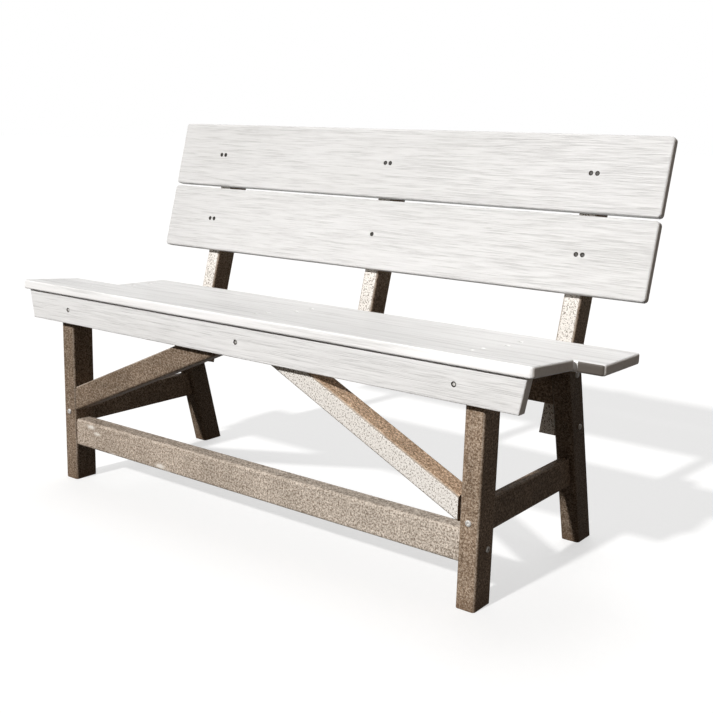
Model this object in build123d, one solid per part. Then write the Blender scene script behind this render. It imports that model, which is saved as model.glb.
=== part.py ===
from build123d import *
import math
import os

# Park bench of recycled-plastic lumber. Millimetres, +Z up, X along the bench, +Y to the back.
# Everything is placed from the mid-plane between the legs (X = 0) and the front face of the front
# legs (Y = 0), then the whole bench is moved so that its bounding box stands centred on the origin.

# lumber and board sections
LUMBER_T = 38.0
LUMBER_W = 57.0
END_RAIL_T = 19.0
BOARD_T = 20.0
LUMBER_R = 6.0
BOARD_R = 4.0
BOARD_CORNER_R = 8.0

# legs
LEG_OUT_X = 543.5
LEG_MID_X = LEG_OUT_X - LUMBER_T / 2
LEG_IN_X = LEG_OUT_X - LUMBER_T
FRONT_LEG_TOP = 422.0
REAR_FOOT_Y = 410.3
REAR_LEG_LEAN = 15.6
REAR_LEG_TOP = 405.0

# seat planks: position of the front top edge, tilt down to the back, extent along X
SEAT_H = 450.0
SEAT_W = 151.0
FRONT_PLANK_Y = -27.6
FRONT_PLANK_TILT = 4.33
FRONT_PLANK_X = (-639.3, 639.3)
REAR_PLANK_Y = 128.7
REAR_PLANK_Z = 435.0
REAR_PLANK_TILT = 0.77
REAR_PLANK_X = (-517.2, 689.6)

# apron under the front edge of the seat
APRON_BOTTOM = 366.0
APRON_TOP = 427.5
APRON_HALF_TOP = 626.6
APRON_HALF_BOTTOM = 615.3

# back: uprights and planks lie on one leaning plane that crosses seat height at UPRIGHT_Y
UPRIGHT_Y = 410.6
BACK_LEAN = 15.0
UPRIGHT_X = LEG_IN_X - LUMBER_T / 2
UPRIGHT_LOW = -228.0
CENTER_UPRIGHT_LOW = -156.0
UPRIGHT_HIGH = 350.0
BACK_W = 154.0
BACK_LOWER_S = 47.5
BACK_UPPER_S = 207.5
BACK_HALF_X = 640.4

# rails, bearers and braces
STRETCHER_Y = 4.3
STRETCHER_Z = (81.5, 142.5)
END_RAIL_Z = (129.0, 187.0)
BEARER_FRONT_Z = 366.0
BEARER_FALL = 3.1
REAR_RAIL_Y = 340.0
REAR_RAIL_LOW = 294.0
BRACE_DEPTH = 48.0
BRACE_END_GAP = 3.5
BRACE_TOP_Z = 422.5

# for each brace: underside height at the leg, underside height at the middle, width
BRACE_LEFT = (164.0, 377.0, 50.0)
BRACE_RIGHT = (154.4, 386.5, 42.0)

# fasteners
DECK_D = 4.5
DECK_HEAD_D = 8.6
DECK_HEAD_H = 2.6
DECK_SINK = 1.3
DECK_RECESS_D = 10.0
DECK_L = 50.0
LAG_D = 6.5
LAG_HEAD_D = 11.5
LAG_HEAD_H = 3.0
LAG_L = 88.0
SIDE_LAG_L = 66.0
BOLT_D = 8.0
BOLT_HEAD_D = 13.0
BOLT_HEAD_H = 3.6
WASHER_D = 20.0
WASHER_T = 1.6
NUT_AF = 13.0
NUT_H = 6.5
BOLT_TAIL = 4.0
PIN_D = 10.0
PIN_L = 60.0
BORE_CLEAR = 0.05

BACK_PLANE = Pos(0, UPRIGHT_Y, SEAT_H) * Rot(-BACK_LEAN, 0, 0)
FAR = 3000.0


def slope(deg):
    return math.tan(math.radians(deg))


def front_plank_under(y):
    """Height of the front plank's underside at depth y."""
    drop = (y - FRONT_PLANK_Y) * slope(FRONT_PLANK_TILT)
    return SEAT_H - drop - BOARD_T / math.cos(math.radians(FRONT_PLANK_TILT))


def rear_plank_under(y):
    """Height of the rear plank's underside at depth y."""
    drop = (y - REAR_PLANK_Y) * slope(REAR_PLANK_TILT)
    return REAR_PLANK_Z - drop - BOARD_T / math.cos(math.radians(REAR_PLANK_TILT))


def upright_front_y(z):
    """Depth of the uprights' front faces at height z."""
    return UPRIGHT_Y + (z - SEAT_H) * slope(BACK_LEAN)


def bearer_under(y):
    """Height of the bearers' underside at depth y."""
    return BEARER_FRONT_Z - y * slope(BEARER_FALL)


def bearer_heel():
    """Depth and height where the bearers' underside meets the uprights' front faces."""
    lean = slope(BACK_LEAN)
    y = (UPRIGHT_Y + (BEARER_FRONT_Z - SEAT_H) * lean) / (1 + slope(BEARER_FALL) * lean)
    return y, bearer_under(y)


def board(length, width, thick):
    """Flat board, front edge on y = 0 and top on z = 0, rounded corners and edges."""
    solid = Box(length, width, thick, align=(Align.CENTER, Align.MIN, Align.MAX))
    solid = fillet(solid.edges().filter_by(Axis.Z), BOARD_CORNER_R)
    rims = solid.faces().sort_by(Axis.Z)[0].edges() + solid.faces().sort_by(Axis.Z)[-1].edges()
    return fillet(rims, BOARD_R)


def lumber(size_x, size_y, size_z, run, radius=LUMBER_R):
    """Length of lumber from the origin towards +x, +y, +z with its four long edges rounded."""
    solid = Box(size_x, size_y, size_z, align=(Align.MIN, Align.MIN, Align.MIN))
    return fillet(solid.edges().filter_by(run), radius)


def keep_above(solid, z):
    return solid - Pos(0, 0, z) * Box(FAR, FAR, FAR, align=(Align.CENTER, Align.CENTER, Align.MAX))


def keep_below(solid, z):
    return solid - Pos(0, 0, z) * Box(FAR, FAR, FAR, align=(Align.CENTER, Align.CENTER, Align.MIN))


def seat_planks():
    planks = {}
    rows = (
        ("seat_plank_front", FRONT_PLANK_X, FRONT_PLANK_Y, SEAT_H, FRONT_PLANK_TILT),
        ("seat_plank_rear", REAR_PLANK_X, REAR_PLANK_Y, REAR_PLANK_Z, REAR_PLANK_TILT),
    )
    for name, (x0, x1), y, z, tilt in rows:
        place = Pos((x0 + x1) / 2, y, z) * Rot(-tilt, 0, 0)
        planks[name] = place * board(x1 - x0, SEAT_W, BOARD_T)
    return planks


def back_planks():
    planks = {}
    for name, s in (("back_plank_lower", BACK_LOWER_S), ("back_plank_upper", BACK_UPPER_S)):
        flat = board(2 * BACK_HALF_X, BACK_W, BOARD_T)
        planks[name] = BACK_PLANE * Pos(0, -BOARD_T, s) * Rot(90, 0, 0) * flat
    return planks


def apron():
    outline = Polyline(
        (-APRON_HALF_BOTTOM, APRON_BOTTOM),
        (APRON_HALF_BOTTOM, APRON_BOTTOM),
        (APRON_HALF_TOP, APRON_TOP),
        (-APRON_HALF_TOP, APRON_TOP),
        close=True,
    )
    solid = extrude(Plane.XZ * make_face(outline), BOARD_T)
    front = solid.faces().sort_by(Axis.Y)[0]
    return fillet(front.edges(), 2.5)


def front_legs():
    legs = {}
    for side, x in (("left", -LEG_OUT_X), ("right", LEG_IN_X)):
        legs["front_leg_" + side] = Pos(x, 0, 0) * lumber(LUMBER_T, LUMBER_W, FRONT_LEG_TOP, Axis.Z)
    return legs


def rear_legs():
    legs = {}
    for side, x in (("left", -LEG_OUT_X), ("right", LEG_IN_X)):
        stick = Pos(0, 0, -60) * lumber(LUMBER_T, LUMBER_W, 560, Axis.Z)
        leg = Pos(x, REAR_FOOT_Y, 0) * Rot(REAR_LEG_LEAN, 0, 0) * stick
        legs["rear_leg_" + side] = keep_below(keep_above(leg, 0), REAR_LEG_TOP)
    return legs


def uprights():
    posts = {}
    rows = (
        ("left", -UPRIGHT_X, UPRIGHT_LOW),
        ("center", 0, CENTER_UPRIGHT_LOW),
        ("right", UPRIGHT_X, UPRIGHT_LOW),
    )
    for side, x, low in rows:
        stick = lumber(LUMBER_T, LUMBER_W, UPRIGHT_HIGH - low, Axis.Z)
        posts["upright_" + side] = BACK_PLANE * Pos(x - LUMBER_T / 2, 0, low) * stick
    return posts


def bearer(x):
    """Front-to-back bearer under the seat, shaped to both planks and to the upright behind it."""
    joint_y = REAR_PLANK_Y - 2
    plank_end_y = REAR_PLANK_Y + SEAT_W
    tail_z = REAR_LEG_TOP - 13
    outline = Polyline(
        (0, BEARER_FRONT_Z),
        bearer_heel(),
        (upright_front_y(tail_z), tail_z),
        (plank_end_y, rear_plank_under(plank_end_y)),
        (REAR_PLANK_Y, rear_plank_under(REAR_PLANK_Y)),
        (joint_y, front_plank_under(joint_y)),
        (0, front_plank_under(0)),
        close=True,
    )
    solid = extrude(Plane.YZ * make_face(outline), LUMBER_T)
    return Pos(x - LUMBER_T / 2, 0, 0) * solid


def bearers():
    rows = (("left", -UPRIGHT_X), ("center", 0), ("right", UPRIGHT_X))
    return {"seat_bearer_" + side: bearer(x) for side, x in rows}


def rear_seat_rail():
    """Lengthwise rail under the bearers, its back edge bevelled to lie on the uprights."""
    outline = Polyline(
        (REAR_RAIL_Y, REAR_RAIL_LOW),
        (upright_front_y(REAR_RAIL_LOW), REAR_RAIL_LOW),
        bearer_heel(),
        (REAR_RAIL_Y, bearer_under(REAR_RAIL_Y)),
        close=True,
    )
    solid = extrude(Plane.YZ * make_face(outline), 2 * LEG_IN_X)
    return Pos(-LEG_IN_X, 0, 0) * solid


def front_stretcher():
    low, high = STRETCHER_Z
    return Pos(-LEG_IN_X, STRETCHER_Y, low) * lumber(2 * LEG_IN_X, LUMBER_T, high - low, Axis.X)


def end_rails():
    """Side rails near the ground, centred on the legs and cut to the lean of the rear legs."""
    rails = {}
    low, high = END_RAIL_Z
    front = LUMBER_W
    lean = slope(REAR_LEG_LEAN)
    outline = Polyline(
        (front, low),
        (REAR_FOOT_Y - low * lean, low),
        (REAR_FOOT_Y - high * lean, high),
        (front, high),
        close=True,
    )
    solid = extrude(Plane.YZ * make_face(outline), END_RAIL_T)
    long_edges = solid.edges().filter_by(Axis.Y)
    solid = fillet(long_edges, 2.5)
    for side, x in (("left", -LEG_MID_X), ("right", LEG_MID_X)):
        rails["end_rail_" + side] = Pos(x - END_RAIL_T / 2, 0, 0) * solid
    return rails


def brace(side, low_z, inner_z, width):
    """Diagonal brace rising from a front leg to the middle bearer, flush with the leg's front."""
    x_out = LEG_IN_X - BRACE_END_GAP
    x_in = LUMBER_T / 2
    fall = (inner_z - low_z) / (x_out - x_in)
    rise = width * math.hypot(1, fall)
    x_clip = x_in + (inner_z + rise - BRACE_TOP_Z) / fall
    outline = Polyline(
        (side * x_out, low_z),
        (side * x_in, inner_z),
        (side * x_in, BRACE_TOP_Z),
        (side * x_clip, BRACE_TOP_Z),
        (side * x_out, low_z + rise),
        close=True,
    )
    solid = extrude(Plane.XZ * make_face(outline), -BRACE_DEPTH)
    run = Vector(side * (x_in - x_out), 0, inner_z - low_z).normalized()
    long_edges = [e for e in solid.edges() if e.length > 60 and abs((e % 0.5).dot(run)) > 0.999]
    return fillet(long_edges, LUMBER_R)


def wood():
    parts = {}
    parts.update(seat_planks())
    parts["front_apron"] = apron()
    parts.update(back_planks())
    parts.update(uprights())
    parts.update(front_legs())
    parts.update(rear_legs())
    parts.update(end_rails())
    parts.update(bearers())
    parts["rear_seat_rail"] = rear_seat_rail()
    parts["front_stretcher"] = front_stretcher()
    parts["brace_left"] = brace(-1, *BRACE_LEFT)
    parts["brace_right"] = brace(1, *BRACE_RIGHT)
    return parts


# Fasteners stand on z = 0 with the shank along -z. Each has a cutter that is a hair wider, which
# bores the lumber for it.

def rod(diameter, length):
    """Round rod from z = 0 down."""
    return Cylinder(diameter / 2, length, align=(Align.CENTER, Align.CENTER, Align.MAX))


def deck_screw(extra=0.0):
    """Countersunk screw with its head sunk a little below the board's face."""
    foot = Pos(0, 0, -DECK_SINK - DECK_HEAD_H)
    cone = Cone(
        DECK_D / 2 + extra,
        DECK_HEAD_D / 2 + extra,
        DECK_HEAD_H,
        align=(Align.CENTER, Align.CENTER, Align.MIN),
    )
    return foot * cone + Pos(0, 0, -DECK_SINK) * rod(DECK_D + 2 * extra, DECK_L + extra)


def deck_screw_cutter():
    sink = Pos(0, 0, 1) * rod(DECK_RECESS_D, DECK_SINK + 1)
    return deck_screw(BORE_CLEAR) + sink


def driven(screw, top, width):
    """Square drive recess in a screw's head."""
    return screw - Pos(0, 0, top) * Box(width, width, width)


def round_head(diameter, height, radius):
    head = Cylinder(diameter / 2, height, align=(Align.CENTER, Align.CENTER, Align.MIN))
    return fillet(head.edges().sort_by(Axis.Z)[-1], radius)


def lag_screw(length):
    """Screw with a low round head seated on the face of the lumber."""
    screw = rod(LAG_D, length) + round_head(LAG_HEAD_D, LAG_HEAD_H, 2.0)
    return driven(screw, LAG_HEAD_H, 3.4)


def carriage_bolt():
    """Through bolt with a domed head, long enough for both members, washer and nut."""
    length = 2 * LUMBER_T + WASHER_T + NUT_H + BOLT_TAIL
    return rod(BOLT_D, length) + round_head(BOLT_HEAD_D, BOLT_HEAD_H, 3.0)


def washer():
    ring = rod(WASHER_D, WASHER_T) - rod(BOLT_D + 2 * BORE_CLEAR, WASHER_T)
    return Pos(0, 0, -2 * LUMBER_T) * ring


def nut():
    prism = extrude(RegularPolygon(NUT_AF / 2, 6, major_radius=False), -NUT_H)
    return Pos(0, 0, -2 * LUMBER_T - WASHER_T) * (prism - rod(BOLT_D + 2 * BORE_CLEAR, NUT_H))


def shank_cutter(diameter, length):
    return rod(diameter + 2 * BORE_CLEAR, length + BORE_CLEAR)


def brace_pin(extra=0.0):
    return Cylinder(PIN_D / 2 + extra, PIN_L + 2 * extra)


def seat_screw_places():
    places = []
    rows = (
        (FRONT_PLANK_Y, SEAT_H, FRONT_PLANK_TILT, 66.0, 104.0),
        (REAR_PLANK_Y, REAR_PLANK_Z, REAR_PLANK_TILT, 32.0, 82.0),
    )
    for y, z, tilt, first, second in rows:
        for x in (-UPRIGHT_X, 4.0, UPRIGHT_X + 4.0):
            for across in (first, second):
                places.append(Pos(x, y, z) * Rot(-tilt, 0, 0) * Pos(0, across, 0))
    return places


def back_screw_places():
    places = []
    outer = UPRIGHT_X + 0.5
    lower = BACK_LOWER_S + BACK_W / 2
    upper = BACK_UPPER_S + BACK_W / 2
    spots = [(-2.0, lower), (-1.0, upper), (12.0, upper)]
    for s in (lower, upper):
        spots += [(-outer, s), (-outer - 13.5, s), (outer, s), (outer + 13.5, s)]
    for x, s in spots:
        places.append(BACK_PLANE * Pos(x, -BOARD_T, s) * Rot(90, 0, 0))
    return places


def apron_screw_places():
    z = 396.8
    return [Pos(x, -BOARD_T, z) * Rot(90, 0, 0) for x in (-LEG_IN_X + 11.5, 6.0, LEG_IN_X - 11.5)]


def lag_places():
    places = []
    rail_mid = (END_RAIL_Z[0] + END_RAIL_Z[1]) / 2
    lean = Rot(REAR_LEG_LEAN, 0, 0)
    for side in (-1, 1):
        places.append(Pos(side * LEG_MID_X, 0, rail_mid) * Rot(90, 0, 0))
        along = rail_mid / math.cos(math.radians(REAR_LEG_LEAN)) + 12
        rear = Pos(side * LEG_MID_X, REAR_FOOT_Y, 0) * lean * Pos(0, LUMBER_W, along)
        places.append(rear * Rot(-90, 0, 0))
    for x in (-UPRIGHT_X, 0, UPRIGHT_X):
        for s in (-70.0, -126.0):
            places.append(BACK_PLANE * Pos(x, LUMBER_W, s) * Rot(-90, 0, 0))
    return places


def side_places(spots):
    """Places on both outer faces of the legs, at each depth and height."""
    places = []
    for y, z in spots:
        for side in (-1, 1):
            places.append(Pos(side * LEG_OUT_X, y, z) * Rot(0, side * 90, 0))
    return places


def side_lag_places():
    return side_places(((STRETCHER_Y + 30, 106.0), (373.8, 250.8)))


def bolt_places():
    return side_places(((40.0, 378.0), (343.9, 359.0)))


def pin_places():
    """Hidden dowels: each brace into its front leg and into the middle bearer."""
    places = []
    for side, low_z in ((-1, BRACE_LEFT[0]), (1, BRACE_RIGHT[0])):
        places.append(Pos(side * (LEG_IN_X - 6), BRACE_DEPTH / 2, low_z + 27) * Rot(0, 90, 0))
    places.append(Pos(0, BRACE_DEPTH / 2, BRACE_TOP_Z - 17) * Rot(0, 90, 0))
    return places


def touches(a, b):
    lo = a.min.X < b.max.X and a.min.Y < b.max.Y and a.min.Z < b.max.Z
    hi = a.max.X > b.min.X and a.max.Y > b.min.Y and a.max.Z > b.min.Z
    return lo and hi


def bore(parts, cutter, places):
    """Cut the fastener's body out of every wooden part it reaches."""
    for place in places:
        tool = place * cutter
        box = tool.bounding_box()
        for name in parts:
            if touches(parts[name].bounding_box(), box):
                parts[name] = parts[name] - tool


def hardware(parts):
    bolt_reach = 2 * LUMBER_T + WASHER_T
    screw = driven(deck_screw(), -DECK_SINK, 2.6)
    rows = (
        ("seat_screws", screw, deck_screw_cutter(), seat_screw_places()),
        ("back_screws", screw, deck_screw_cutter(), back_screw_places()),
        ("apron_screws", screw, deck_screw_cutter(), apron_screw_places()),
        ("frame_lag_screws", lag_screw(LAG_L), shank_cutter(LAG_D, LAG_L), lag_places()),
        ("side_lag_screws", lag_screw(SIDE_LAG_L), shank_cutter(LAG_D, SIDE_LAG_L), side_lag_places()),
        ("frame_bolts", carriage_bolt(), shank_cutter(BOLT_D, bolt_reach), bolt_places()),
        ("brace_pins", brace_pin(), brace_pin(BORE_CLEAR), pin_places()),
    )
    groups = {}
    for name, fastener, cutter, places in rows:
        bore(parts, cutter, places)
        groups[name] = [place * fastener for place in places]
    groups["bolt_washers"] = [place * washer() for place in bolt_places()]
    groups["bolt_nuts"] = [place * nut() for place in bolt_places()]
    return groups


def main():
    os.makedirs("parts", exist_ok=True)
    parts = wood()
    groups = hardware(parts)
    box = Compound(children=[s for p in parts.values() for s in p.solids()]).bounding_box()
    middle = box.center()
    home = Pos(-round(middle.X, 1), -round(middle.Y, 1), 0)
    for name, solid in parts.items():
        export_step(home * solid.solid(), "parts/" + name + ".step")
    for name, items in groups.items():
        solids = [home * s for item in items for s in item.solids()]
        export_step(Compound(children=solids), "parts/" + name + ".step")


main()
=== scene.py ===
import math

import bmesh
import bpy
import numpy as np
from mathutils import Matrix, Vector


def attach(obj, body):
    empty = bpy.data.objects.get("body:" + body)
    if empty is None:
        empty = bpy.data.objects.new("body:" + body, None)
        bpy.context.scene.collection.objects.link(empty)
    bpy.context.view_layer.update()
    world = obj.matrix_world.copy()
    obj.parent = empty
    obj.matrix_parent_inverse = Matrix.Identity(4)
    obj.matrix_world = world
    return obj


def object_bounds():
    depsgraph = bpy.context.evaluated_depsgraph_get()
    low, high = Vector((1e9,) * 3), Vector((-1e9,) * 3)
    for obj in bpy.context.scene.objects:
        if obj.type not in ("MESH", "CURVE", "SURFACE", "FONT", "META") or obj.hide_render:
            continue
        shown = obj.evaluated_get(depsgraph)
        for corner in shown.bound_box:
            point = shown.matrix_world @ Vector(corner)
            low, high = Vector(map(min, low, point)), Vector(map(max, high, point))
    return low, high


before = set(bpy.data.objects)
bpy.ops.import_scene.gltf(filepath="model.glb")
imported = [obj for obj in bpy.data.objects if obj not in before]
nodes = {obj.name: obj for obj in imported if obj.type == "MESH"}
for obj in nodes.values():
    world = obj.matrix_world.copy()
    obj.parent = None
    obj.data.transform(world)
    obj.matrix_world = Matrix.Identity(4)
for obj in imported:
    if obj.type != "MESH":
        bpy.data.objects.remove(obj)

cad_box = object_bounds()
scene = bpy.context.scene


# ---------------------------------------------------------------- camera, lights, floor

AZIMUTH = math.radians(36.60)
ELEVATION = math.radians(12.20)
ROLL = math.radians(1.64)
CAMERA_PLACE = (1.3252, -1.7039, 0.7955)
LENS_MM = 52.49
KEY_FROM = (-0.10, -1.0, 0.675)
OVERHEAD_FROM = (-0.20, 0.25, 1.0)
BACKLIGHT_FROM = (-0.58, 0.78, -0.22)
FLOOR_RADIUS = 60


def look():
    """Camera axes for the viewing angle: to the right, up, and back towards the viewer."""
    sa, ca = math.sin(AZIMUTH), math.cos(AZIMUTH)
    se, ce = math.sin(ELEVATION), math.cos(ELEVATION)
    ahead = Vector((-sa * ce, ca * ce, -se))
    right = Vector((ca, sa, 0))
    up = right.cross(ahead)
    turned_right = right * math.cos(ROLL) + up * math.sin(ROLL)
    turned_up = up * math.cos(ROLL) - right * math.sin(ROLL)
    return turned_right, turned_up, -ahead


def add_camera():
    data = bpy.data.cameras.new("view")
    data.sensor_width = 36
    data.lens = LENS_MM
    data.clip_end = 200
    camera = bpy.data.objects.new("view", data)
    turn = Matrix(look()).transposed().to_4x4()
    camera.matrix_world = Matrix.Translation(CAMERA_PLACE) @ turn
    scene.collection.objects.link(camera)
    scene.camera = camera


def add_sun(name, towards, strength, softness, color):
    """A distant lamp. towards points from the bench to the lamp."""
    data = bpy.data.lights.new(name, "SUN")
    data.energy = strength
    data.angle = math.radians(softness)
    data.color = color
    lamp = bpy.data.objects.new(name, data)
    lamp.rotation_euler = Vector(towards).to_track_quat("Z", "Y").to_euler()
    scene.collection.objects.link(lamp)


def add_world():
    """Plain white surround whose light is strongest behind the bench and dimmer at its sides."""
    world = bpy.data.worlds.new("studio")
    scene.world = world
    world.use_nodes = True
    tree = world.node_tree
    tree.nodes.clear()
    coords = tree.nodes.new("ShaderNodeTexCoord")
    along = tree.nodes.new("ShaderNodeVectorMath")
    along.operation = "DOT_PRODUCT"
    along.inputs[1].default_value = Vector(BACKLIGHT_FROM).normalized()
    tree.links.new(coords.outputs["Generated"], along.inputs[0])
    ramp = tree.nodes.new("ShaderNodeValToRGB")
    fill_ramp(ramp, (
        (0.0, (0.125, 0.105, 0.09)),
        (0.58, (0.115, 0.105, 0.095)),
        (0.82, (0.35, 0.35, 0.35)),
        (0.91, (1, 1, 1)),
    ))
    half = tree.nodes.new("ShaderNodeMapRange")
    half.inputs["From Min"].default_value = -1
    tree.links.new(along.outputs["Value"], half.inputs["Value"])
    tree.links.new(half.outputs["Result"], ramp.inputs["Fac"])
    height = tree.nodes.new("ShaderNodeSeparateXYZ")
    tree.links.new(coords.outputs["Generated"], height.inputs[0])
    level = tree.nodes.new("ShaderNodeMapRange")
    level.inputs["From Min"].default_value = -0.10
    level.inputs["From Max"].default_value = -0.02
    level.inputs["To Min"].default_value = 0.50
    tree.links.new(height.outputs["Z"], level.inputs["Value"])
    light = tree.nodes.new("ShaderNodeBackground")
    tree.links.new(level.outputs["Result"], light.inputs["Strength"])
    tree.links.new(ramp.outputs["Color"], light.inputs["Color"])
    plain = tree.nodes.new("ShaderNodeBackground")
    plain.inputs["Color"].default_value = (1, 1, 1, 1)
    ray = tree.nodes.new("ShaderNodeLightPath")
    chosen = tree.nodes.new("ShaderNodeMixShader")
    tree.links.new(ray.outputs["Is Camera Ray"], chosen.inputs[0])
    tree.links.new(light.outputs["Background"], chosen.inputs[1])
    tree.links.new(plain.outputs["Background"], chosen.inputs[2])
    output = tree.nodes.new("ShaderNodeOutputWorld")
    tree.links.new(chosen.outputs["Shader"], output.inputs["Surface"])


def fill_ramp(ramp, stops):
    elements = ramp.color_ramp.elements
    while len(elements) < len(stops):
        elements.new(0.5)
    for element, (place, color) in zip(elements, stops):
        element.position = place
        element.color = (*color, 1)


# ---------------------------------------------------------------- node graph helper

class Graph:
    """Short names for building one material's nodes."""

    def __init__(self, name):
        self.material = bpy.data.materials.new(name)
        self.material.use_nodes = True
        self.tree = self.material.node_tree
        self.tree.nodes.clear()
        coords = self.add("TexCoord")
        self.place = coords.outputs["Object"]
        self.facing = coords.outputs["Normal"]

    def add(self, kind, settings=None, inputs=None):
        node = self.tree.nodes.new("ShaderNode" + kind)
        for key, value in (settings or {}).items():
            setattr(node, key, value)
        for key, value in (inputs or {}).items():
            self.feed(node.inputs[key], value)
        return node

    def feed(self, socket, value):
        if isinstance(value, bpy.types.NodeSocket):
            self.tree.links.new(value, socket)
        else:
            socket.default_value = value

    def math(self, operation, a, b=0.0, c=0.0):
        node = self.add("Math", {"operation": operation}, {0: a, 1: b, 2: c})
        return node.outputs[0]

    def scaled(self, vector, factors):
        node = self.add("VectorMath", {"operation": "MULTIPLY"}, {0: vector, 1: factors})
        return node.outputs[0]

    def noise(self, vector, scale, detail=2.0, roughness=0.5, distortion=0.0):
        inputs = {"Vector": vector, "Scale": scale, "Detail": detail, "Roughness": roughness}
        inputs["Distortion"] = distortion
        return self.add("TexNoise", None, inputs)

    def cells(self, vector, scale, randomness=1.0):
        inputs = {"Vector": vector, "Scale": scale, "Randomness": randomness}
        return self.add("TexVoronoi", None, inputs).outputs["Distance"]

    def step(self, value, low, high, start=0.0, end=1.0):
        """Smooth rise from start to end as value goes from low to high."""
        inputs = {"Value": value, "From Min": low, "From Max": high, "To Min": start, "To Max": end}
        return self.add("MapRange", {"interpolation_type": "SMOOTHSTEP"}, inputs).outputs["Result"]

    def ramp(self, value, stops):
        node = self.add("ValToRGB", None, {"Fac": value})
        fill_ramp(node, stops)
        return node.outputs["Color"]

    def mix(self, factor, a, b, blend="MIX"):
        node = self.add("Mix", {"data_type": "RGBA", "blend_type": blend}, {0: factor, 6: a, 7: b})
        return node.outputs[2]

    def axis(self, vector, index):
        return self.add("SeparateXYZ", None, {0: vector}).outputs[index]

    def surface(self, color, roughness, height, depth, strength=1.0, metallic=0.0, specular=0.5, glow=0.0):
        bump = self.add("Bump", None, {"Height": height, "Distance": depth, "Strength": strength})
        inputs = {
            "Base Color": color,
            "Roughness": roughness,
            "Normal": bump.outputs["Normal"],
            "Metallic": metallic,
            "Specular IOR Level": specular,
            "Emission Color": (1, 1, 1, 1),
            "Emission Strength": glow,
        }
        shader = self.add("BsdfPrincipled", None, inputs)
        output = self.add("OutputMaterial")
        self.tree.links.new(shader.outputs["BSDF"], output.inputs["Surface"])
        return self.material


def white(value):
    return (value, value, value, 1)


# ---------------------------------------------------------------- materials

# painted shadow on the front edge of the rear seat plank, where it stands out past the front plank's end
PAINTED_SHADOW_X = 0.6155
PAINTED_SHADOW_Z = 0.4400
PAINTED_SHADOW = (0.115, 0.10, 0.085, 1)
STRETCHER_FACE_Y = -0.26
FLECK = (0.62, 0.55, 0.47, 1)
# paler edges: wear, and a painted highlight along upper edges
WEAR_HIGHLIGHT = (0.60, 0.53, 0.45, 1)
SCUFF = (0.80, 0.76, 0.70, 1)
# darker towards the floor
FOOT_DARK = (0.13, 0.075, 0.042, 1)
# painted highlight on faces towards the front, and the dark pits in it
GLARE_WHITE = (0.90, 0.865, 0.815, 1)
GLARE_PIT = (0.20, 0.165, 0.13, 1)


def board_material(name, painted_light, front_painted_light, streak=170, share=0.2, right=1.0):
    """Off-white plastic board with embossed wood grain that runs along X.

    Its two tone factors are painted light and shade: they darken or lighten its upper faces and the faces
    towards the front.
    streak and share set how fine the broad streaks are and how much of the grain they make.
    right multiplies the tone at its right end, a painted light that makes that end lighter.
    """
    g = Graph(name)
    sway = g.noise(g.scaled(g.place, (2.2, 26, 26)), 1.0, 2.0).outputs["Color"]
    shift = g.scaled(sway, (0, 0.006, 0.006))
    place = g.add("VectorMath", {"operation": "ADD"}, {0: g.place, 1: shift}).outputs[0]
    fine = g.noise(g.scaled(place, (13, 600, 600)), 1.0, 4.0, 0.66).outputs["Fac"]
    broad = g.noise(g.scaled(place, (4, streak, streak)), 1.0, 3.0, 0.6).outputs["Fac"]
    grain = g.math("MULTIPLY_ADD", fine, 1 - share, g.math("MULTIPLY", broad, share))
    tone = g.ramp(grain, (
        (0.37, (0.62, 0.618, 0.613)),
        (0.46, (0.755, 0.754, 0.750)),
        (0.52, (0.79, 0.789, 0.786)),
        (0.64, (0.83, 0.829, 0.826)),
    ))
    # painted light and shade: faces towards the front and the other faces get their own tone factors, and the
    # right end is lightened
    ahead = g.step(g.math("MULTIPLY", g.axis(g.facing, 1), -1.0), 0.45, 0.75)
    tone = g.mix(1.0, tone, g.mix(ahead, white(painted_light), white(front_painted_light)), "MULTIPLY")
    tone = g.mix(g.step(g.axis(g.place, 0), 0.1, 0.6), tone, g.mix(1.0, tone, white(right), "MULTIPLY"))
    cloud = g.noise(g.scaled(g.place, (3, 9, 9)), 1.0, 3.0).outputs["Fac"]
    haze = g.ramp(cloud, ((0.3, (0.965, 0.965, 0.96)), (0.7, (1, 1, 1))))
    tone = g.mix(1.0, tone, haze, "MULTIPLY")
    speck = g.step(g.noise(g.place, 700, 2.0, 0.7).outputs["Fac"], 0.70, 0.76, 0.0, 0.35)
    tone = g.mix(speck, tone, (0.42, 0.40, 0.37, 1))
    # painted shadow: the rear plank's front edge beyond the front plank's end is darkened as if in its shadow
    beyond = g.step(g.axis(g.place, 0), PAINTED_SHADOW_X, PAINTED_SHADOW_X + 0.002)
    low = g.step(g.axis(g.place, 2), PAINTED_SHADOW_Z, PAINTED_SHADOW_Z - 0.003)
    painted_shadow = g.math("MULTIPLY", g.math("MULTIPLY", beyond, ahead), low)
    tone = g.mix(painted_shadow, tone, PAINTED_SHADOW)
    # sawn end faces: saw marks, and a painted light that makes the end faces paler than the board's own tone
    side = g.math("ABSOLUTE", g.axis(g.facing, 0))
    sawn = g.step(side, 0.72, 0.9)
    marks = g.noise(g.scaled(g.place, (60, 900, 160)), 1.0, 3.0, 0.6).outputs["Fac"]
    sawn_and_lit = g.ramp(marks, ((0.35, (0.84, 0.80, 0.75)), (0.65, (1.0, 0.96, 0.91))))
    tone = g.mix(g.math("MULTIPLY", sawn, 0.9), tone, sawn_and_lit)
    rough = g.step(grain, 0.36, 0.62, 0.62, 0.42)
    relief = g.mix(sawn, g.step(grain, 0.33, 0.55), marks)
    return g.surface(tone, rough, relief, 0.0005, 0.75, specular=0.42)


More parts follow.
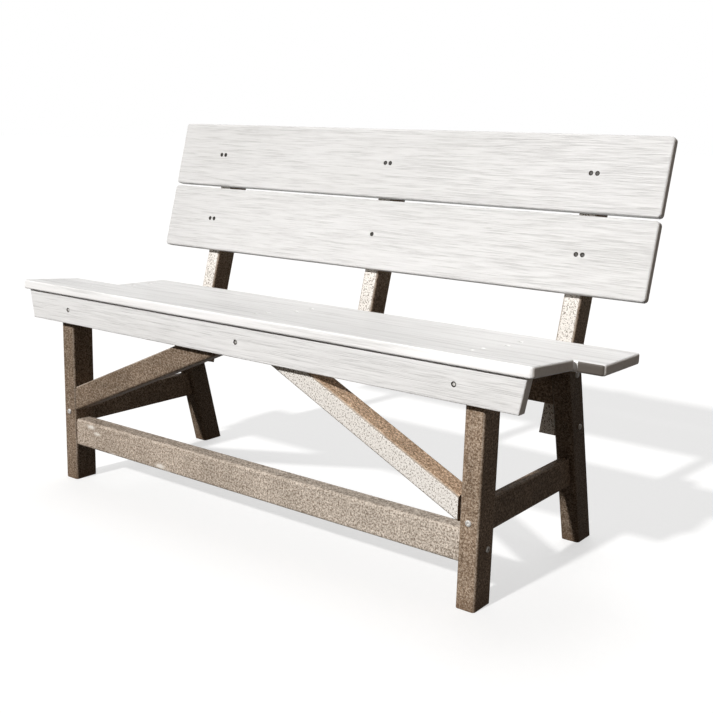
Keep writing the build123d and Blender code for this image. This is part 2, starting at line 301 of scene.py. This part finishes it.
def lumber_material(name, flow, painted_light=1.0, pale_mix=(0.0, 0.0), painted_glare=False, scuffs=()):
    """Brown recycled-plastic lumber: pebbled skin, pale flecks, flow lines along its run.

    flow stretches the lines along one axis. Its tone factor is painted light and shade. The pair after that
    is how much a pale speckled tone is mixed in at its left and right ends.
    The flag after that paints a highlight on the faces towards the front, with dark pits in it, and paints
    light on its upper faces. Each of scuffs is a pale mark: x, z and size.
    """
    g = Graph(name)
    pebble = g.noise(g.place, 270, 5.0, 0.74, 0.4).outputs["Fac"]
    patch = g.noise(g.place, 13, 4.0, 0.6).outputs["Fac"]
    lines = g.noise(g.scaled(g.place, flow), 1.0, 3.0, 0.5).outputs["Fac"]
    tone = g.ramp(pebble, ((0.38, DARK), (0.50, MID), (0.61, LIGHT)))
    # a pale speckled tone mixed in, changing from the left end to the right end
    pale_amount = g.step(g.axis(g.place, 0), -0.5, 0.5, *pale_mix)
    pale_speckle = g.ramp(pebble, ((0.40, (0.25, 0.195, 0.148)), (0.58, (0.94, 0.86, 0.765))))
    tone = g.mix(pale_amount, tone, pale_speckle)
    # painted light and shade: the tone factor darkens or lightens the whole part to stand for how the light
    # falls on it
    tone = g.mix(1.0, tone, white(painted_light), "MULTIPLY")
    patches = g.ramp(patch, ((0.3, (0.78, 0.77, 0.75)), (0.7, (1.14, 1.14, 1.14))))
    tone = g.mix(0.85, tone, patches, "MULTIPLY")
    streaks = g.ramp(lines, ((0.3, (0.80, 0.80, 0.80)), (0.7, (1.12, 1.12, 1.12))))
    tone = g.mix(0.55, tone, streaks, "MULTIPLY")
    fleck = g.step(g.cells(g.place, 240), 0.24, 0.13, 0.0, 0.5)
    tone = g.mix(fleck, tone, FLECK)
    pit = g.step(g.cells(g.place, 310), 0.20, 0.12, 0.0, 0.55)
    pale = 0.0
    # painted highlight: faces towards the front painted near-white; upper faces painted 2.2 times lighter as
    # painted light
    if painted_glare:
        front = g.step(g.math("MULTIPLY", g.axis(g.facing, 1), -1.0), 0.80, 0.93)
        spots = g.step(g.noise(g.place, 330, 3.0, 0.8).outputs["Fac"], 0.405, 0.47)
        tone = g.mix(front, tone, g.mix(spots, GLARE_PIT, GLARE_WHITE))
        above = g.step(g.axis(g.facing, 2), 0.6, 0.85)
        painted_top_light = g.mix(1.0, tone, (2.2, 2.1, 2.0, 1), "MULTIPLY")
        tone = g.mix(above, tone, painted_top_light)
    for x, z, size in scuffs:
        middle = (x, STRETCHER_FACE_Y, z)
        offset = g.add("VectorMath", {"operation": "SUBTRACT"}, {0: g.place, 1: middle}).outputs[0]
        oval = g.scaled(offset, (0.55, 0.0, 1.4))
        reach = g.add("VectorMath", {"operation": "LENGTH"}, {0: oval}).outputs["Value"]
        ragged = g.math("MULTIPLY_ADD", g.math("SUBTRACT", pebble, 0.5), 0.035, reach)
        pale = g.math("MAXIMUM", pale, g.step(ragged, size, size * 0.35))
    if scuffs:
        tone = g.mix(pale, tone, SCUFF)
    # edge wear and painted highlight: rounded edges paler in patches, only where they face upward
    across = g.add("VectorMath", {"operation": "ABSOLUTE"}, {0: g.facing}).outputs[0]
    sideways = g.math("MAXIMUM", g.axis(across, 0), g.axis(across, 1))
    flat = g.math("MAXIMUM", sideways, g.axis(across, 2))
    wear_and_highlight = g.math("MULTIPLY", g.step(flat, 0.88, 0.76), g.step(patch, 0.35, 0.60, 0.20, 0.70))
    wear_and_highlight = g.math("MULTIPLY", wear_and_highlight, g.step(g.axis(g.facing, 2), -0.15, 0.15))
    tone = g.mix(wear_and_highlight, tone, WEAR_HIGHLIGHT)
    # darker towards the floor, over the lowest 35 mm
    near_floor = g.step(g.axis(g.place, 2), 0.035, 0.0, 0.0, 0.45)
    tone = g.mix(near_floor, tone, FOOT_DARK)
    height = g.math("SUBTRACT", g.math("MULTIPLY_ADD", lines, 0.35, pebble), pit)
    rough = g.step(pebble, 0.35, 0.65, 0.50, 0.70)
    return g.surface(tone, rough, height, 0.0008, 0.8, specular=0.12)


def steel_material(name, painted_light, metallic):
    """Stainless steel fastener, faintly brushed and dulled. Its tone factor is painted light and shade; a low
    one paints the head dark as shade.
    """
    g = Graph(name)
    scratch = g.noise(g.scaled(g.place, (2600, 700, 2600)), 1.0, 3.0, 0.6).outputs["Fac"]
    dull = g.noise(g.place, 180, 3.0).outputs["Fac"]
    tone = g.ramp(dull, ((0.3, (0.62, 0.61, 0.59)), (0.7, (0.84, 0.83, 0.81))))
    tone = g.mix(1.0, tone, white(painted_light), "MULTIPLY")
    blend = g.math("MULTIPLY_ADD", scratch, 0.5, g.math("MULTIPLY", dull, 0.5))
    rough = g.step(blend, 0.35, 0.65, 0.42, 0.62)
    return g.surface(tone, rough, scratch, 0.00005, 0.5, metallic=metallic)


def floor_material():
    """Plain pale floor, lit a little from within so that its shadows stay light."""
    g = Graph("pale_floor")
    grain = g.noise(g.place, 90, 3.0).outputs["Fac"]
    tone = g.ramp(grain, ((0.3, (0.40, 0.40, 0.398)), (0.7, (0.43, 0.43, 0.428))))
    rough = g.step(grain, 0.3, 0.7, 0.85, 0.95)
    return g.surface(tone, rough, grain, 0.0002, 0.2, specular=0.1, glow=0.62)


def add_floor():
    """Floor just under the feet. It is left out of the light that surfaces bounce to each other."""
    bm = bmesh.new()
    bmesh.ops.create_circle(bm, cap_ends=True, cap_tris=False, segments=96, radius=FLOOR_RADIUS)
    mesh = bpy.data.meshes.new("floor")
    bm.to_mesh(mesh)
    bm.free()
    mesh.materials.append(floor_material())
    floor = bpy.data.objects.new("floor", mesh)
    floor.location = (0, 0, cad_box[0][2] - 0.0005)
    scene.collection.objects.link(floor)
    floor.visible_diffuse = False
    floor.visible_glossy = False


def recess_shade_material():
    """Painted shade for the walls of the screw recesses."""
    g = Graph("recess_painted_shade")
    mottle = g.noise(g.place, 1500, 3.0, 0.7).outputs["Fac"]
    tone = g.ramp(mottle, ((0.35, (0.025, 0.021, 0.018)), (0.65, (0.075, 0.066, 0.056))))
    return g.surface(tone, g.step(mottle, 0.3, 0.7, 0.8, 0.95), mottle, 0.0001, 0.6, specular=0.15)


def islands(name):
    """Corner points of each separate solid in a CAD node, as arrays."""
    bm = bmesh.new()
    bm.from_mesh(nodes[name].data)
    bmesh.ops.remove_doubles(bm, verts=bm.verts, dist=1e-5)
    unseen = set(bm.verts)
    found = []
    while unseen:
        group = [unseen.pop()]
        for vert in group:
            for edge in vert.link_edges:
                other = edge.other_vert(vert)
                if other in unseen:
                    unseen.discard(other)
                    group.append(other)
        found.append(np.array([vert.co for vert in group]))
    bm.free()
    return sorted(found, key=lambda points: tuple(points.mean(0).round(4)))


def screw_head(points, outward):
    """Middle of a screw's flat head and the direction it faces."""
    spread = points - points.mean(0)
    along = np.linalg.svd(spread, full_matrices=False)[2][0]
    along = along * np.sign(along @ np.array(outward))
    reach = points @ along
    rim = points[reach > reach.max() - 5e-5]
    middle = (rim.max(0) + rim.min(0)) / 2
    return Vector(middle), Vector(along)


# ---------------------------------------------------------------- screw recesses

# radius and height of the recess round a sunk screw, from its raised lip down to the head, in mm
RECESS = ((5.5, 0.00), (5.35, 0.06), (5.15, 0.05), (4.98, -0.05), (4.75, -0.62), (4.05, -1.24), (2.70, -1.27))
RECESS_STEPS = 28
SINK_M = 0.0013


def add_recesses(name, group, outward, board, recess_shade, board_bands):
    """Raised lip and wall of the recess round every screw of a group, the wall painted dark as shade.

    The last argument is how many of its bands, from the outside, keep the colour of the board; the rest take
    the painted shade.
    """
    bm = bmesh.new()
    for count, points in enumerate(islands(group)):
        middle, along = screw_head(points, outward)
        turn = along.to_track_quat("Z", "Y").to_matrix().to_4x4()
        place = Matrix.Translation(middle + along * SINK_M) @ turn
        rings = []
        for radius, height in RECESS:
            ring = []
            for step in range(RECESS_STEPS):
                angle = 2 * math.pi * step / RECESS_STEPS
                ragged = 1 + (0.018 * math.sin(3 * angle + count) if height > 0 else 0)
                across = radius * ragged
                point = Vector((across * math.cos(angle), across * math.sin(angle), height))
                ring.append(bm.verts.new(place @ (point / 1000)))
            rings.append(ring)
        for level, (outer, inner) in enumerate(zip(rings, rings[1:])):
            for step in range(RECESS_STEPS):
                after = (step + 1) % RECESS_STEPS
                face = bm.faces.new((outer[step], outer[after], inner[after], inner[step]))
                face.smooth = True
                face.material_index = 0 if level < board_bands else 1
    mesh = bpy.data.meshes.new(name)
    bm.to_mesh(mesh)
    bm.free()
    mesh.materials.append(board)
    mesh.materials.append(recess_shade)
    piece = bpy.data.objects.new(name, mesh)
    scene.collection.objects.link(piece)
    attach(piece, "root")


# ---------------------------------------------------------------- which node wears what

def dress(material, *names):
    """Give CAD nodes a material in place of their plain one."""
    for name in names:
        for slot in nodes[name].material_slots:
            slot.material = material


# tones of the brown skin, and how its flow lines stretch along Z, X or Y
DARK = (0.125, 0.082, 0.052)
MID = (0.285, 0.205, 0.142)
LIGHT = (0.545, 0.44, 0.345)
UP = (170, 170, 9)
ALONG = (9, 170, 170)
BACKWARD = (170, 9, 170)
# pale marks on the stretcher: x, z and size in metres
SCUFFS = (
    (-0.4816, 0.1328, 0.008),
    (-0.4615, 0.1205, 0.006),
    (-0.4089, 0.0828, 0.007),
    (-0.2582, 0.0906, 0.009),
    (-0.2369, 0.0820, 0.007),
)


def dress_bench():
    # three lit and shaded copies of the board: their tone factors are painted light and shade
    back = board_material("white_board_back", 0.94, 0.94)
    seat = board_material("white_board_seat", 0.99, 1.22, streak=85, share=0.6, right=1.12)
    front = board_material("white_board_apron", 1.12, 1.12, streak=120, share=0.3, right=1.03)
    # painted shade for the recess walls round the screws
    recess_shade = recess_shade_material()
    dress(back, "back_plank_lower", "back_plank_upper")
    dress(seat, "seat_plank_front", "seat_plank_rear")
    dress(front, "front_apron")
    add_recesses("seat_screw_recesses", "seat_screws", (0, 0, 1), seat, recess_shade, 5)
    add_recesses("back_screw_recesses", "back_screws", (0, -1, 0), back, recess_shade, 4)
    add_recesses("apron_screw_recesses", "apron_screws", (0, -1, 0), front, recess_shade, 3)
    # painted light and shade: each part's tone factor makes it lighter or darker as the light falls on it,
    # the rear legs darkest as in shade
    dress(lumber_material("brown_lumber_leg", UP, painted_light=1.06), "front_leg_right")
    dress(lumber_material("brown_lumber_leg_painted_shade", UP, painted_light=0.76), "front_leg_left")
    dress(lumber_material("brown_lumber_rear_painted_shade", UP, painted_light=0.55), "rear_leg_left", "rear_leg_right")
    # uprights and right brace get the painted highlight on their front faces and painted light on their tops
    glared = lumber_material("brown_lumber_painted_glare", UP, painted_glare=True)
    dress(glared, "upright_left", "upright_center", "upright_right", "brace_right")
    dress(lumber_material("brown_lumber_brace_painted_shade", ALONG, painted_light=0.76), "brace_left", "rear_seat_rail")
    backward = lumber_material("brown_lumber_backward_painted_shade", BACKWARD, painted_light=0.85)
    dress(backward, "end_rail_left", "end_rail_right")
    dress(backward, "seat_bearer_left", "seat_bearer_center", "seat_bearer_right")
    paled = lumber_material("brown_lumber_paled", ALONG, pale_mix=(0.42, 0.78), scuffs=SCUFFS)
    dress(paled, "front_stretcher")
    dull = steel_material("stainless_dull", 0.98, 0.35)
    dress(dull, "seat_screws", "apron_screws")
    dress(dull, "frame_lag_screws", "side_lag_screws", "frame_bolts")
    # back screw heads painted dark as shade
    dress(steel_material("stainless_painted_shade", 0.14, 1.0), "back_screws")
    dress(steel_material("stainless_plain", 0.95, 1.0), "bolt_washers", "bolt_nuts", "brace_pins")


# ---------------------------------------------------------------- make the scene

scene.view_settings.view_transform = "Standard"
add_camera()
add_world()
add_sun("key", KEY_FROM, 3.35, 2.5, (1.0, 0.99, 0.98))
add_sun("overhead", OVERHEAD_FROM, 0.85, 30.0, (0.98, 0.99, 1.0))
add_floor()
dress_bench()
